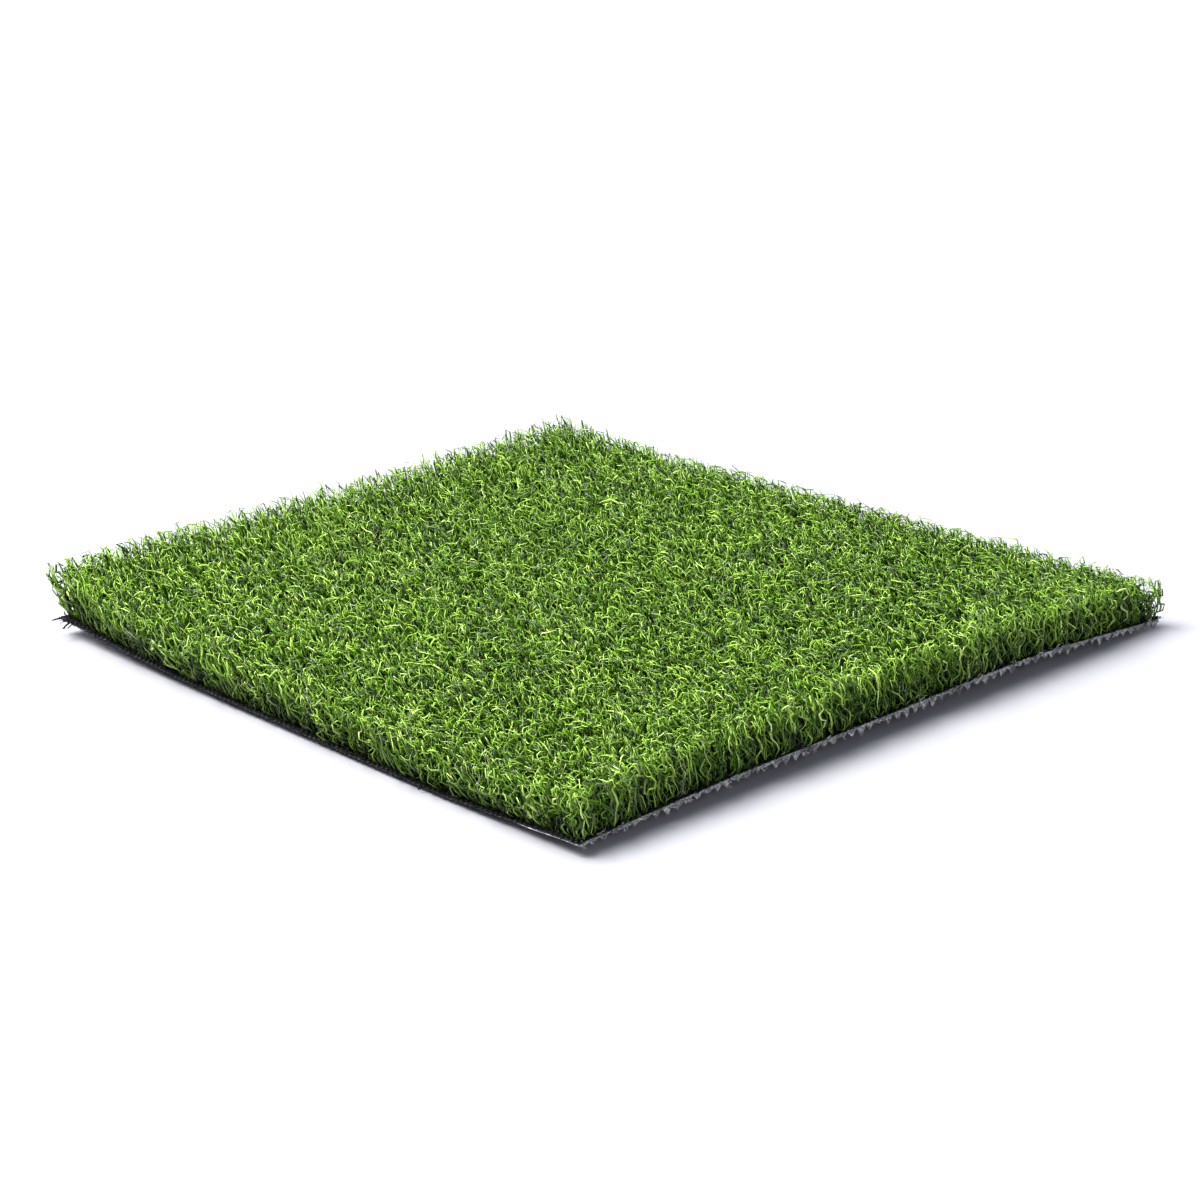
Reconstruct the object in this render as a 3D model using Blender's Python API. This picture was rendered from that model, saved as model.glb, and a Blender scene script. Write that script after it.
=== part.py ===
# A square piece of tufted turf: pile rows stitched through a woven backing,
# with a rubbery coating that locks the stitches underneath.
# Run with: blender --background --python part.py

import math

import bmesh
import bpy

# Driving sizes, in metres.
SPAN = 0.3048  # side of the square
GAUGE = 0.0047625  # from one tuft row to the next; rows run along X
PILE_HEIGHT = 0.0185  # from the backing's top face to the pile's top
BACKING_THICKNESS = 0.0006
COATING_THICKNESS = 0.0007  # between the ridges
STITCH_COVER = 0.0007  # coating below the stitches
STITCH_THICKNESS = 0.0006  # of the yarn that runs under the backing
YARN_WIDTH = 0.0014  # of a row of tufts where it goes through the backing
RIDGE_WALL = 0.0006  # coating beside the stitches
RIDGE_TAPER = 0.0006  # how much narrower a ridge is at its crest, on each side
CLEARANCE = 0.0003  # between neighbouring pieces
ROW_END_GAP = 0.0006  # from a row's end to the backing's edge
GROUP_LENGTH = 0.030  # of a place where a row's yarn goes through the backing
CROTCH_RISE = 0.0037  # from the backing to where two rows of tufts meet
FLARE_RISE = 0.0048  # from the backing to where the tufts have spread out fully
SHOULDER_DROP = 0.0017  # how far the pile's outer edge is below its top
VALLEY_DROP = 0.0011  # how far the dip between two rows is below the top

# Counts.
ROWS_PER_PIECE = 2
STITCH_GROUPS = 3  # places along a row where the yarn goes through the backing

# Worked out from the sizes above.
HALF = SPAN / 2
PIECE_PITCH = ROWS_PER_PIECE * GAUGE
PIECES = math.floor(SPAN / PIECE_PITCH + 1e-6)
ROWS = PIECES * ROWS_PER_PIECE
FIRST_ROW = -(ROWS - 1) / 2 * GAUGE
PIECE_HALF = (PIECE_PITCH - CLEARANCE) / 2
ROW_HALF = HALF - ROW_END_GAP
YARN_HALF = YARN_WIDTH / 2
SLOT_HALF = YARN_HALF + CLEARANCE
RIDGE_ROOT_HALF = SLOT_HALF + RIDGE_WALL
RIDGE_CREST_HALF = RIDGE_ROOT_HALF - RIDGE_TAPER
GROUP_PITCH = 2 * ROW_HALF / STITCH_GROUPS

# Heights, from the floor up.
GROOVE_FLOOR = STITCH_COVER
STITCH_BOTTOM = GROOVE_FLOOR + CLEARANCE
STITCH_TOP = STITCH_BOTTOM + STITCH_THICKNESS
COATING_TOP = STITCH_TOP
WEB_BOTTOM = COATING_TOP - COATING_THICKNESS
BACKING_BOTTOM = COATING_TOP + CLEARANCE
BACKING_TOP = BACKING_BOTTOM + BACKING_THICKNESS
PILE_BOTTOM = BACKING_TOP + CLEARANCE
PILE_TOP = BACKING_TOP + PILE_HEIGHT
CROTCH = BACKING_TOP + CROTCH_RISE
FLARE = BACKING_TOP + FLARE_RISE
SHOULDER = PILE_TOP - SHOULDER_DROP
VALLEY = PILE_TOP - VALLEY_DROP


class Shell:
    """Collects the faces of one closed solid and welds the corners they share."""

    def __init__(self):
        self.mesh = bmesh.new()
        self.corners = {}

    def corner(self, point):
        key = tuple(round(value * 1e7) for value in point)
        if key not in self.corners:
            self.corners[key] = self.mesh.verts.new(point)
        return self.corners[key]

    def face(self, points):
        self.mesh.faces.new([self.corner(point) for point in points])

    def strip(self, lower, upper):
        """Joins a line of many points to a line with only a start and an end."""
        middle = len(lower) // 2
        for i in range(len(lower) - 1):
            tip = upper[0] if i < middle else upper[1]
            self.face([lower[i], lower[i + 1], tip])
        self.face([lower[middle], upper[1], upper[0]])

    def finish(self, name, material):
        bmesh.ops.recalc_face_normals(self.mesh, faces=self.mesh.faces)
        mesh = bpy.data.meshes.new(name)
        self.mesh.to_mesh(mesh)
        self.mesh.free()
        mesh.materials.append(material)
        made = bpy.data.objects.new(name, mesh)
        bpy.context.scene.collection.objects.link(made)
        return made


def clear_scene():
    for old in list(bpy.data.objects):
        bpy.data.objects.remove(old, do_unlink=True)


def make_material(name, colour, roughness, metallic=0.0):
    material = bpy.data.materials.new(name)
    material.use_nodes = True
    shader = material.node_tree.nodes["Principled BSDF"]
    shader.inputs["Base Color"].default_value = (*colour, 1.0)
    shader.inputs["Roughness"].default_value = roughness
    shader.inputs["Metallic"].default_value = metallic
    return material


def row_centre(row):
    return FIRST_ROW + row * GAUGE


def group_ends():
    """Where the yarn starts and stops going through the backing, along a row."""
    first = -ROW_HALF + GROUP_PITCH / 2
    middles = [first + i * GROUP_PITCH for i in range(STITCH_GROUPS)]
    return [x + side * GROUP_LENGTH / 2 for x in middles for side in (-1, 1)]


def pile_outline():
    """Section of two rows of tufts above the backing, as (across, height) points."""
    inner = GAUGE / 2 - YARN_HALF
    outer = GAUGE / 2 + YARN_HALF
    right_side = [
        (inner, PILE_BOTTOM),
        (outer, PILE_BOTTOM),
        (PIECE_HALF, FLARE),
        (PIECE_HALF, SHOULDER),
        (0.75 * PIECE_HALF, PILE_TOP),
        (0.3 * PIECE_HALF, PILE_TOP),
    ]
    left_side = [(-across, height) for across, height in reversed(right_side)]
    return [(0.0, CROTCH), *right_side, (0.0, VALLEY), *left_side]


def add_stitch_line(shell, centre, stations):
    """One row's yarn below its tufts: down through the backing and along under it."""
    near, far = centre - YARN_HALF, centre + YARN_HALF
    start, end = stations[0], stations[-1]
    for side in (near, far):
        shell.strip(
            [(x, side, STITCH_TOP) for x in stations],
            [(start, side, STITCH_BOTTOM), (end, side, STITCH_BOTTOM)],
        )
    shell.face(
        [
            (start, near, STITCH_BOTTOM),
            (end, near, STITCH_BOTTOM),
            (end, far, STITCH_BOTTOM),
            (start, far, STITCH_BOTTOM),
        ]
    )
    for x in (start, end):
        shell.face(
            [
                (x, near, STITCH_BOTTOM),
                (x, far, STITCH_BOTTOM),
                (x, far, STITCH_TOP),
                (x, near, STITCH_TOP),
            ]
        )
    for i in range(len(stations) - 1):
        x0, x1 = stations[i], stations[i + 1]
        through_backing = i % 2 == 1
        if through_backing:
            for side in (near, far):
                shell.face(
                    [
                        (x0, side, STITCH_TOP),
                        (x1, side, STITCH_TOP),
                        (x1, side, PILE_BOTTOM),
                        (x0, side, PILE_BOTTOM),
                    ]
                )
            for x in (x0, x1):
                shell.face(
                    [
                        (x, near, STITCH_TOP),
                        (x, far, STITCH_TOP),
                        (x, far, PILE_BOTTOM),
                        (x, near, PILE_BOTTOM),
                    ]
                )
        else:
            for height in (STITCH_TOP, PILE_BOTTOM):
                shell.face(
                    [
                        (x0, near, height),
                        (x1, near, height),
                        (x1, far, height),
                        (x0, far, height),
                    ]
                )


def build_pile_piece(number, material):
    """Two neighbouring rows of tufts with their stitches, as one solid."""
    shell = Shell()
    centre = (number - (PIECES - 1) / 2) * PIECE_PITCH
    stations = [-ROW_HALF, *group_ends(), ROW_HALF]
    outline = [(centre + across, height) for across, height in pile_outline()]
    for x in (-ROW_HALF, ROW_HALF):
        shell.face([(x, y, z) for y, z in outline])
    for i, (y0, z0) in enumerate(outline):
        y1, z1 = outline[(i + 1) % len(outline)]
        low = min(z0, z1)
        if low > PILE_BOTTOM:
            shell.face(
                [
                    (-ROW_HALF, y0, z0),
                    (ROW_HALF, y0, z0),
                    (ROW_HALF, y1, z1),
                    (-ROW_HALF, y1, z1),
                ]
            )
        elif z0 != z1:
            (foot_y, foot_z), (top_y, top_z) = sorted(
                [(y0, z0), (y1, z1)], key=lambda point: point[1]
            )
            shell.strip(
                [(x, foot_y, foot_z) for x in stations],
                [(-ROW_HALF, top_y, top_z), (ROW_HALF, top_y, top_z)],
            )
    for side in (-1, 1):
        add_stitch_line(shell, centre + side * GAUGE / 2, stations)
    return shell.finish(f"pile_rows_{number + 1:02d}", material)


def build_backing(material):
    """The woven layer: a thin square with a slot for each place yarn goes through."""
    shell = Shell()
    ends = group_ends()
    xs = [-HALF]
    for i, x in enumerate(ends):
        xs.append(x + (CLEARANCE if i % 2 else -CLEARANCE))
    xs.append(HALF)
    ys = [-HALF]
    for row in range(ROWS):
        ys += [row_centre(row) - SLOT_HALF, row_centre(row) + SLOT_HALF]
    ys.append(HALF)

    def is_open(i, j):
        outside = not (0 <= i < len(xs) - 1 and 0 <= j < len(ys) - 1)
        return outside or (i % 2 == 1 and j % 2 == 1)

    def wall(x0, y0, x1, y1):
        shell.face(
            [
                (x0, y0, BACKING_BOTTOM),
                (x1, y1, BACKING_BOTTOM),
                (x1, y1, BACKING_TOP),
                (x0, y0, BACKING_TOP),
            ]
        )

    for i in range(len(xs) - 1):
        for j in range(len(ys) - 1):
            if is_open(i, j):
                continue
            x0, x1, y0, y1 = xs[i], xs[i + 1], ys[j], ys[j + 1]
            for z in (BACKING_BOTTOM, BACKING_TOP):
                shell.face([(x0, y0, z), (x1, y0, z), (x1, y1, z), (x0, y1, z)])
            if is_open(i - 1, j):
                wall(x0, y0, x0, y1)
            if is_open(i + 1, j):
                wall(x1, y0, x1, y1)
            if is_open(i, j - 1):
                wall(x0, y0, x1, y0)
            if is_open(i, j + 1):
                wall(x0, y1, x1, y1)
    return shell.finish("woven_backing", material)


def build_coating(material):
    """The rubbery layer: flat between the rows, with a ridge over each row's stitches."""
    shell = Shell()
    def run_along(y0, z0, y1, z1):
        shell.face([(-HALF, y0, z0), (HALF, y0, z0), (HALF, y1, z1), (-HALF, y1, z1)])

    def cap(points):
        for x in (-HALF, HALF):
            shell.face([(x, y, z) for y, z in points])

    web_start = -HALF
    for row in range(ROWS):
        y = row_centre(row)
        bottom = [
            (y - RIDGE_ROOT_HALF, WEB_BOTTOM),
            (y - RIDGE_CREST_HALF, 0.0),
            (y + RIDGE_CREST_HALF, 0.0),
            (y + RIDGE_ROOT_HALF, WEB_BOTTOM),
        ]
        top = [
            (y - RIDGE_ROOT_HALF, COATING_TOP),
            (y - SLOT_HALF, COATING_TOP),
            (y - SLOT_HALF, GROOVE_FLOOR),
            (y + SLOT_HALF, GROOVE_FLOOR),
            (y + SLOT_HALF, COATING_TOP),
            (y + RIDGE_ROOT_HALF, COATING_TOP),
        ]
        for line in (bottom, top):
            for (y0, z0), (y1, z1) in zip(line, line[1:]):
                run_along(y0, z0, y1, z1)
        cap([*bottom, *reversed(top)])
        web_end = y - RIDGE_ROOT_HALF
        for z in (WEB_BOTTOM, COATING_TOP):
            run_along(web_start, z, web_end, z)
        cap(
            [
                (web_start, WEB_BOTTOM),
                (web_end, WEB_BOTTOM),
                (web_end, COATING_TOP),
                (web_start, COATING_TOP),
            ]
        )
        web_start = y + RIDGE_ROOT_HALF
    for z in (WEB_BOTTOM, COATING_TOP):
        run_along(web_start, z, HALF, z)
    cap(
        [
            (web_start, WEB_BOTTOM),
            (HALF, WEB_BOTTOM),
            (HALF, COATING_TOP),
            (web_start, COATING_TOP),
        ]
    )
    for y in (-HALF, HALF):
        shell.face(
            [
                (-HALF, y, WEB_BOTTOM),
                (HALF, y, WEB_BOTTOM),
                (HALF, y, COATING_TOP),
                (-HALF, y, COATING_TOP),
            ]
        )
    return shell.finish("latex_coating", material)


clear_scene()
build_coating(make_material("latex_coating", (0.16, 0.17, 0.17), 0.75))
build_backing(make_material("woven_backing", (0.012, 0.012, 0.014), 0.55))
for piece in range(PIECES):
    shade = 0.5 + 0.5 * math.sin(2.4 * piece)
    green = (0.07 + 0.03 * shade, 0.24 + 0.05 * shade, 0.015 + 0.01 * shade)
    build_pile_piece(piece, make_material(f"pile_rows_{piece + 1:02d}", green, 0.45))
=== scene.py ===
import math
import time

import bpy
import numpy as np
from mathutils import Matrix, Vector


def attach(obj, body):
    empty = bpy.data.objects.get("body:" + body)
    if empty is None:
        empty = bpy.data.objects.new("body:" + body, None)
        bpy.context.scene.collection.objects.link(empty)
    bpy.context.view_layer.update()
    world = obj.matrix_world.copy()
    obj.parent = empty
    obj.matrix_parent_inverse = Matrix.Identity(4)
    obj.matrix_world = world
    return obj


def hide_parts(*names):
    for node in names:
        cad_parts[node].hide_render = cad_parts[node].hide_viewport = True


started = time.time()
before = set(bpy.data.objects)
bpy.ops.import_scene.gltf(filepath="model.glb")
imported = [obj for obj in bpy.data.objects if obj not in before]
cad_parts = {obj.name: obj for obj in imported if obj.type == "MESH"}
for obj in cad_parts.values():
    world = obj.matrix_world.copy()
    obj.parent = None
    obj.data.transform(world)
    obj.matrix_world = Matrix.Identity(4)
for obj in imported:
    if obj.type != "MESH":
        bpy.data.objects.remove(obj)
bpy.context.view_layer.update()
mm = 0.001


def report(text):
    print(f"[{time.time() - started:6.1f} s] {text}")


report(f"frame loaded, {len(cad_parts)} solids")

camera = {
    "bearing": 43.05,  # degrees round from -Y towards +X
    "elevation": 19.64,
    "distance": 1.323,
    "lens": 100.74,  # in mm, like the sensor's width
    "sensor": 36.0,
    "aimRight": 5.0 * mm,
    "aimUp": 13.6 * mm,
    "clipNear": 0.01,
    "clipFar": 50.0,
}


def makeCamera(k):
    bearing, elevation = math.radians(k["bearing"]), math.radians(k["elevation"])
    level = math.cos(elevation)
    back = Vector((math.sin(bearing) * level, -math.cos(bearing) * level, math.sin(elevation)))
    right = Vector((math.cos(bearing), math.sin(bearing), 0.0))
    up = back.cross(right)
    aim = right * k["aimRight"] + up * k["aimUp"]
    data = bpy.data.cameras.new("studio_camera")
    data.lens = k["lens"]
    data.sensor_width = k["sensor"]
    data.clip_start, data.clip_end = k["clipNear"], k["clipFar"]
    eye = bpy.data.objects.new("studio_camera", data)
    turn = Matrix((right, up, back)).transposed().to_4x4()
    eye.matrix_world = Matrix.Translation(aim + back * k["distance"]) @ turn
    bpy.context.scene.collection.objects.link(eye)
    bpy.context.scene.camera = eye


makeCamera(camera)
report("camera placed")

# the piece was cut a little out of square and its corners curl up off the floor
lie = {
    "side": 0.3048,
    "gauge": 0.0047625,  # row to row
    "rows": 64,
    "rowsPerPiece": 2,
    "cornerLeft": (-151.0, -142.1),  # where the corners lie, in mm
    "cornerFront": (146.2, -160.0),
    "cornerRight": (159.3, 161.0),
    "cornerBack": (-153.0, 150.8),
    "liftLeftFront": (5.6, 1.5, 0.6, 0.0, 3.6),  # along each edge, in mm, quarter by quarter
    "liftFrontRight": (3.6, 6.0, 6.3, 6.7, 1.6),
    "liftLeftBack": (5.6, 3.4, 1.4, 0.3, 0.0),
    "liftBackRight": (0.0, 0.3, 0.7, 1.1, 1.6),
    "webBottom": 0.9 * mm,  # heights in the stack above the ridge crests
    "webTop": 1.6 * mm,
    "backingLow": 1.9 * mm,
    "backingHigh": 2.5 * mm,
}
side, gauge = lie["side"], lie["gauge"]
half = side / 2
firstRow = -half + gauge / 2
pieceCount = lie["rows"] // lie["rowsPerPiece"]


def fade(distance, reach):
    # 1 at no distance, falling away over the reach
    return np.exp(-distance / reach)


def unit(v):
    return v / np.maximum(np.linalg.norm(v, axis=-1, keepdims=True), 1e-12)


def smoothLine(values, t):
    # a smooth line through evenly spaced heights
    p = np.array([2 * values[0] - values[1], *values, 2 * values[-1] - values[-2]])
    n = len(values) - 1
    s = np.clip(np.asarray(t, float), 0.0, 1.0) * n
    i = np.minimum(s.astype(int), n - 1)
    f = s - i
    a, b, c, d = p[i], p[i + 1], p[i + 2], p[i + 3]
    bend = 2 * a - 5 * b + 4 * c - d + f * (3 * (b - c) + d - a)
    return b + 0.5 * f * (c - a + f * bend)


def blend(u, v, left, front, right, back):
    # from one value at each corner to a value anywhere on the square
    return (1 - u) * (1 - v) * left + u * (1 - v) * front + u * v * right + (1 - u) * v * back


def liftAt(u, v):
    # the four edges' heights, run together over the square
    u, v = np.clip(u, 0, 1), np.clip(v, 0, 1)
    leftFront, backRight = lie["liftLeftFront"], lie["liftBackRight"]
    along = (1 - v) * smoothLine(leftFront, u) + v * smoothLine(backRight, u)
    across = (1 - u) * smoothLine(lie["liftLeftBack"], v) + u * smoothLine(lie["liftFrontRight"], v)
    corners = blend(u, v, leftFront[0], leftFront[-1], backRight[-1], backRight[0])
    return np.maximum(along + across - corners, 0.0) * mm


def layDown(points):
    # moves points of the flat, square piece to where they lie
    u, v = points[..., 0] / side + 0.5, points[..., 1] / side + 0.5
    corners = [lie[name] for name in ("cornerLeft", "cornerFront", "cornerRight", "cornerBack")]
    out = np.empty_like(points)
    for axis in (0, 1):
        out[..., axis] = mm * blend(u, v, *(corner[axis] for corner in corners))
    out[..., 2] = points[..., 2] + liftAt(u, v)
    return out


class Wire:
    # one output of a node; + - * / and ** on it add Math nodes
    def __init__(self, finish, socket):
        self.finish, self.socket = finish, socket

    def maths(self, operation, first, second=0.0):
        made = self.finish.node(
            "ShaderNodeMath", {"operation": operation}, {0: first, 1: second}
        )
        return made["Value"]

    def __add__(self, other):
        return self.maths("ADD", self, other)

    def __sub__(self, other):
        return self.maths("SUBTRACT", self, other)

    def __rsub__(self, other):
        return self.maths("SUBTRACT", other, self)

    def __mul__(self, other):
        return self.maths("MULTIPLY", self, other)

    def __truediv__(self, other):
        return self.maths("DIVIDE", self, other)

    def __pow__(self, other):
        return self.maths("POWER", self, other)

    __radd__ = __add__
    __rmul__ = __mul__

    def floor(self):
        return self.maths("FLOOR", self)

    def sine(self):
        return self.maths("SINE", self)

    def held(self):
        # kept between 0 and 1
        return self.maths("MINIMUM", self.maths("MAXIMUM", self, 0.0), 1.0)


class Outputs:
    def __init__(self, finish, made):
        self.finish, self.made = finish, made

    def __getitem__(self, key):
        return Wire(self.finish, findSocket(self.made.outputs, key))


def findSocket(sockets, key):
    if isinstance(key, int):
        return sockets[key]
    for s in sockets:
        if s.identifier == key or (s.name == key and s.enabled):
            return s
    raise KeyError(key)


def fromScreen(r, g, b):
    # an 8-bit colour as the shader's linear one
    return tuple(
        c / 12.92 if c <= 0.04045 else ((c + 0.055) / 1.055) ** 2.4
        for c in (r / 255, g / 255, b / 255)
    )


class Finish:
    # a node material, ending in one Principled shader
    def __init__(self, name):
        self.material = bpy.data.materials.new(name)
        self.material.use_nodes = True
        self.tree = self.material.node_tree
        self.tree.nodes.clear()
        self.shader = self.tree.nodes.new("ShaderNodeBsdfPrincipled")
        end = self.tree.nodes.new("ShaderNodeOutputMaterial")
        self.tree.links.new(self.shader.outputs["BSDF"], end.inputs["Surface"])

    def node(self, kind, settings=None, sockets=None):
        made = self.tree.nodes.new(kind)
        for key, value in (settings or {}).items():
            if key == "stops":
                self.setStops(made.color_ramp, value)
            else:
                setattr(made, key, value)
        for key, value in (sockets or {}).items():
            self.join(findSocket(made.inputs, key), value)
        return Outputs(self, made)

    def join(self, socket, value):
        if isinstance(value, Wire):
            self.tree.links.new(value.socket, socket)
        elif hasattr(value, "__len__"):
            size = len(socket.default_value)
            socket.default_value = (list(value) + [1.0])[:size]
        else:
            socket.default_value = value

    def setStops(self, ramp, stops):
        while len(ramp.elements) > 1:
            ramp.elements.remove(ramp.elements[-1])
        for i, (place, colour) in enumerate(stops):
            stop = ramp.elements[0] if i == 0 else ramp.elements.new(place)
            stop.position = place
            stop.color = (*fromScreen(*colour), 1.0)

    def feed(self, **wires):
        for name, value in wires.items():
            self.join(self.shader.inputs[name.replace("_", " ")], value)

    def mix(self, factor, first, second, blend="MIX"):
        made = self.node(
            "ShaderNodeMix",
            {"data_type": "RGBA", "blend_type": blend},
            {"Factor_Float": factor, "A_Color": first, "B_Color": second},
        )
        return made["Result_Color"]

    def ramp(self, factor, stops):
        return self.node("ShaderNodeValToRGB", {"stops": stops}, {"Fac": factor})["Color"]

    def noise(self, at, scale, detail, roughness=0.5, dimensions="3D"):
        return self.node(
            "ShaderNodeTexNoise",
            {"noise_dimensions": dimensions},
            {"Vector": at, "Scale": scale, "Detail": detail, "Roughness": roughness},
        )["Fac"]

    def vector(self, x, y, z=0.0):
        return self.node("ShaderNodeCombineXYZ", None, {"X": x, "Y": y, "Z": z})["Vector"]

    def bump(self, height, strength, depth):
        sockets = {"Strength": strength, "Distance": depth, "Height": height}
        return self.node("ShaderNodeBump", None, sockets)["Normal"]


yarnLook = {
    "cells": 64,  # colour steps; a strand takes one of them
    "innerCells": 44,  # the rest are for the strands along the cut edges
    "shades": (
        (0.0, (6, 18, 3)),  # nearly black green: the dull thatch deep in the pile, made darker as painted shade
        (0.14, (116, 134, 100)),  # grey green
        (0.30, (42, 78, 11)),  # dusky green
        (0.58, (110, 154, 38)),  # leaf green
        (0.86, (180, 217, 100)),  # lime
        (1.0, (212, 235, 154)),  # pale lime
    ),
    "rootShade": 0.04,  # painted shade: how much of the colour is left at the foot, deep in the pile
    "edgeShade": 0.5,  # painted shade at the foot of a strand at a cut, where it is lighter
    "rootRise": 1.3,  # how fast the painted shade leaves the strand, from rootStart up
    "rootStart": 0.1,
    "rootCurve": 1.5,
    "lineScale": (520.0, 9.0, 40.0),  # of the draw lines: across, along, strand to strand
    "driftScale": (90.0, 4.0),  # of the slow changes: strand to strand, along
    "lineShade": (0.86, 0.28),  # the least light, and what the noise adds
    "driftShade": (0.76, 0.42),
    "lineRough": 0.22,
    "roughness": 0.26,
    "specular": 0.5,
    "bump": 0.25,
    "bumpDepth": 0.04 * mm,
}


def makeYarn(k):
    f = Finish("turf_yarn")
    at = f.node("ShaderNodeUVMap", {"uv_map": "OFBake"})["UV"]
    parts = f.node("ShaderNodeSeparateXYZ", None, {"Vector": at})
    across, along = parts["X"], parts["Y"]
    number = (across * k["cells"]).floor()
    inner, outer = k["innerCells"], k["cells"] - k["innerCells"]
    atEdge = (number - inner + 1).held()
    cell = number / (inner - 1)
    cell = cell + atEdge * ((number - inner) / (outer - 1) - cell)
    shade = f.ramp(cell, k["shades"])
    # fine draw lines along the strand, and slow changes of shade up it
    x, y, z = k["lineScale"]
    lines = f.noise(f.vector(across * x, along * y, cell * z), 1.0, 2.0, roughness=0.6)
    x, y = k["driftScale"]
    drift = f.noise(f.vector(cell * x, along * y), 1.0, 1.0, dimensions="2D")
    # painted shade: each strand is darker towards its foot, less so at the cuts
    low = k["rootShade"] + atEdge * (k["edgeShade"] - k["rootShade"])
    foot = low + (1 - low) * (along * k["rootRise"] - k["rootStart"]).held() ** k["rootCurve"]
    darkest, added = k["driftShade"]
    level = foot * (darkest + added * drift)
    darkest, added = k["lineShade"]
    level = level * (darkest + added * lines)
    sockets = {"Red": level, "Green": level, "Blue": level}
    grey = f.node("ShaderNodeCombineColor", None, sockets)["Color"]
    rough = k["roughness"] + k["lineRough"] * lines
    normal = f.bump(lines, k["bump"], k["bumpDepth"])
    f.feed(Base_Color=f.mix(1.0, shade, grey, "MULTIPLY"), Roughness=rough, Normal=normal)
    f.feed(Specular_IOR_Level=k["specular"])
    return f.material


tapeLook = {
    "black": (7, 7, 9),
    "worn": (30, 30, 34),
    "glint": (104, 106, 112),
    "warpPitch": 1.2 * mm,
    "weftPitch": 1.6 * mm,
    "lineScale": 2600.0,
    "patchScale": 160.0,
    "wornFrom": 0.78,
    "wornSlope": 2.4,
    "glintFrom": 0.62,
    "glintSlope": 9.0,
    "glintShare": 0.5,
    "roughness": 0.55,
    "specular": 0.25,
    "bump": 0.6,
    "bumpDepth": 0.15 * mm,
}


def makeTape(k):
    f = Finish("woven_tape")
    at = f.node("ShaderNodeTexCoord")["Object"]
    parts = f.node("ShaderNodeSeparateXYZ", None, {"Vector": at})
    warp = (parts["X"] * (math.pi / k["warpPitch"])).sine()
    weft = (parts["Y"] * (math.pi / k["weftPitch"])).sine()
    weave = (warp * weft) * 0.5 + 0.5  # which of the two tapes is on top
    lines = f.noise(at, k["lineScale"], 2.0)
    patches = f.noise(at, k["patchScale"], 3.0)
    worn = weave * 0.5 + lines * 0.5 + patches * 0.7
    worn = ((worn - k["wornFrom"]) * k["wornSlope"]).held()
    colour = f.mix(worn, fromScreen(*k["black"]), fromScreen(*k["worn"]))
    glints = lines * 0.7 + weave * 0.35
    glints = ((glints - k["glintFrom"]) * k["glintSlope"]).held() * k["glintShare"]
    colour = f.mix(glints, colour, fromScreen(*k["glint"]))
    rough = k["roughness"] - 0.16 * weave + 0.22 * lines
    normal = f.bump(weave + 0.35 * lines, k["bump"], k["bumpDepth"])
    f.feed(Base_Color=colour, Roughness=rough, Normal=normal)
    f.feed(Specular_IOR_Level=k["specular"])
    return f.material


latexLook = {
    "shades": (
        (0.2, (56, 56, 62)),
        (0.5, (138, 137, 143)),
        (0.85, (222, 221, 224)),
    ),
    "yarn": (112, 124, 84),
    "yarnFrom": 0.62,  # where yarn shows through the rubber
    "yarnSlope": 5.0,
    "yarnShare": 0.25,
    "grainScale": 1500.0,
    "blotScale": 140.0,
    "pitScale": 900.0,
    "roughness": 0.62,
    "specular": 0.3,
    "bump": 0.7,
    "bumpDepth": 0.2 * mm,
}


def makeLatex(k):
    f = Finish("latex_coat")
    at = f.node("ShaderNodeTexCoord")["Object"]
    grain = f.noise(at, k["grainScale"], 4.0, roughness=0.65)
    blots = f.noise(at, k["blotScale"], 3.0)
    pits = f.node(
        "ShaderNodeTexVoronoi", {"feature": "F1"}, {"Vector": at, "Scale": k["pitScale"]}
    )["Distance"]
    colour = f.ramp((grain * 1.5 + blots * 0.8 - 0.65).held(), k["shades"])
    bare = blots * 0.6 + pits * 0.9
    bare = ((bare - k["yarnFrom"]) * k["yarnSlope"]).held() * k["yarnShare"]
    colour = f.mix(bare, colour, fromScreen(*k["yarn"]))
    rough = k["roughness"] + 0.2 * grain
    normal = f.bump(grain + 0.5 * pits + 0.6 * blots, k["bump"], k["bumpDepth"])
    f.feed(Base_Color=colour, Roughness=rough, Normal=normal)
    f.feed(Specular_IOR_Level=k["specular"])
    return f.material


yarn, tape, latex = makeYarn(yarnLook), makeTape(tapeLook), makeLatex(latexLook)
report("materials made")


def meshObject(name, verts, corners, sizes, material, uvs=None, smooth=True):
    # corners is one flat list of vertex numbers, sizes how many each face takes
    data = bpy.data.meshes.new(name)
    corners = np.asarray(corners, np.int32).ravel()
    sizes = np.asarray(sizes, np.int32).ravel()
    starts = np.concatenate(([0], np.cumsum(sizes)[:-1])).astype(np.int32)
    data.vertices.add(len(verts))
    data.vertices.foreach_set("co", np.asarray(verts, np.float32).ravel())
    data.loops.add(len(corners))
    data.loops.foreach_set("vertex_index", corners)
    data.polygons.add(len(sizes))
    data.polygons.foreach_set("loop_start", starts)
    data.polygons.foreach_set("loop_total", sizes)
    data.polygons.foreach_set("use_smooth", np.full(len(sizes), smooth))
    if uvs is not None:
        layer = data.uv_layers.new(name="OFBake")
        layer.data.foreach_set("uv", np.asarray(uvs, np.float32).ravel())
    data.update(calc_edges=True)
    data.validate()
    data.materials.append(material)
    made = bpy.data.objects.new(name, data)
    bpy.context.scene.collection.objects.link(made)
    return made


def acrossOf(v, tangent):
    # the way of v, made square to the tangent
    return unit(v - (v * tangent).sum(-1, keepdims=True) * tangent)


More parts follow.
